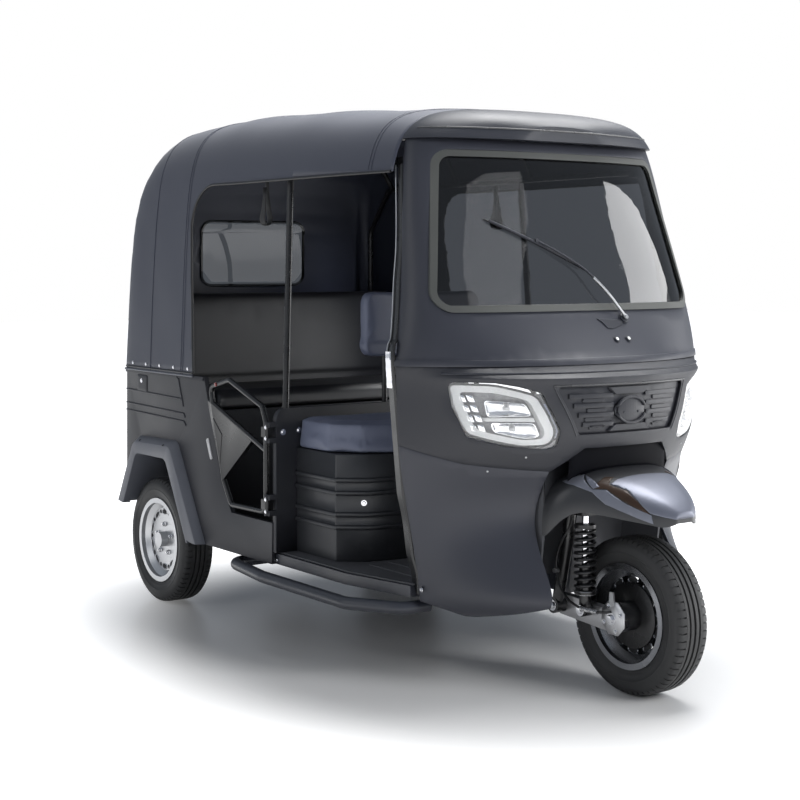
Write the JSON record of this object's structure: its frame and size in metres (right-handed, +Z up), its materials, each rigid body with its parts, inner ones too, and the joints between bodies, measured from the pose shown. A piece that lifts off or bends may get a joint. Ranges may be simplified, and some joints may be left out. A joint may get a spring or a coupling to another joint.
{
  "type": "auto rickshaw",
  "caption": "Three-wheeled passenger taxi with a driver's cab, a covered rear bench, half doors, a beaked front mudguard and single-sided leading-arm steering.",
  "frame": {"origin": "on the ground under the middle of the bounding box", "axes": "+X forward, +Y the vehicle's left, +Z up"},
  "size_m": [2.68, 1.406, 1.9449],
  "materials": {
    "frame_steel": "satin",
    "body_paint": "satin",
    "floor_mat": "matte",
    "seal_rubber": "matte",
    "glass_pane": "clear",
    "black_trim": "satin",
    "gloss_black": "gloss",
    "lamp_clear": "clear",
    "lamp_red": "gloss",
    "canopy_cloth": "satin",
    "chrome_tube": "polished",
    "seat_cover": "satin",
    "cast_alloy": "satin",
    "engine_iron": "matte",
    "dark_rim": "satin",
    "silver_rim": "satin",
    "tyre_rubber": "matte"
  },
  "bodies": {
    "body": {"chassis_frame": "frame_steel", "floor_pan": "floor_mat", "nose_cowl": "body_paint", "windscreen_seal": "seal_rubber", "windscreen": "glass_pane", "wiper": "black_trim", "nose_fascia": "body_paint", "grille_panel": "body_paint", "headlamps": "lamp_clear", "leg_shield": "body_paint", "front_mudguard": "body_paint", "roof_cap": "gloss_black", "canopy": "canopy_cloth", "rear_window": "glass_pane", "canopy_bows": "frame_steel", "rear_body": "body_paint", "wheel_flares": "black_trim", "tail_lamps": "lamp_red", "partition": "body_paint", "engine_cover": "black_trim", "engine": "engine_iron", "driver_seat": "seat_cover", "driver_backrest": "seat_cover", "bench_base": "black_trim", "bench_cushion": "seat_cover", "bench_back": "seat_cover", "frame_outriggers": "frame_steel", "steering_head": "frame_steel", "grab_poles": "chrome_tube", "dashboard": "black_trim", "rear_axle": "frame_steel", "leaf_springs": "frame_steel"},
    "steering": {"steering_fork": "frame_steel", "leading_arm": "cast_alloy", "front_damper": "frame_steel", "handlebar": "black_trim", "brake_cable": "black_trim"},
    "front_wheel": {"front_rim": "dark_rim", "front_tyre": "tyre_rubber"},
    "rear_wheel_right": {"rear_rim_right": "silver_rim", "rear_tyre_right": "tyre_rubber"},
    "rear_wheel_left": {"rear_rim_left": "silver_rim", "rear_tyre_left": "tyre_rubber"},
    "half_door_right": {"door_right": "frame_steel"},
    "half_door_left": {"door_left": "frame_steel"},
    "tail_lid": {"tail_hatch": "body_paint"}
  },
  "joints": [
    {"name": "steering_turn", "type": "hinge", "parent": "body", "child": "steering", "pos_m": [0.89822, 0, 0.7], "axis": [-0.342, 0, 0.9397], "range_deg": [-38, 38]},
    {"name": "front_wheel_spin", "type": "hinge", "parent": "steering", "child": "front_wheel", "pos_m": [1.093, 0, 0.247], "axis": [0, 1, 0], "continuous": true},
    {"name": "rear_wheel_right_spin", "type": "hinge", "parent": "body", "child": "rear_wheel_right", "pos_m": [-1.017, -0.565, 0.247], "axis": [0, 1, 0], "continuous": true},
    {"name": "rear_wheel_left_spin", "type": "hinge", "parent": "body", "child": "rear_wheel_left", "pos_m": [-1.017, 0.565, 0.247], "axis": [0, 1, 0], "continuous": true},
    {"name": "door_right_hinge", "type": "hinge", "parent": "body", "child": "half_door_right", "pos_m": [-0.113, -0.652, 0.63], "axis": [0, 0, 1], "range_deg": [0, 85]},
    {"name": "door_left_hinge", "type": "hinge", "parent": "body", "child": "half_door_left", "pos_m": [-0.113, 0.652, 0.63], "axis": [0, 0, -1], "range_deg": [0, 85]},
    {"name": "tail_lid_hinge", "type": "hinge", "parent": "body", "child": "tail_lid", "pos_m": [-1.331, 0, 0.863], "axis": [0, 1, 0], "range_deg": [0, 90]}
  ]
}
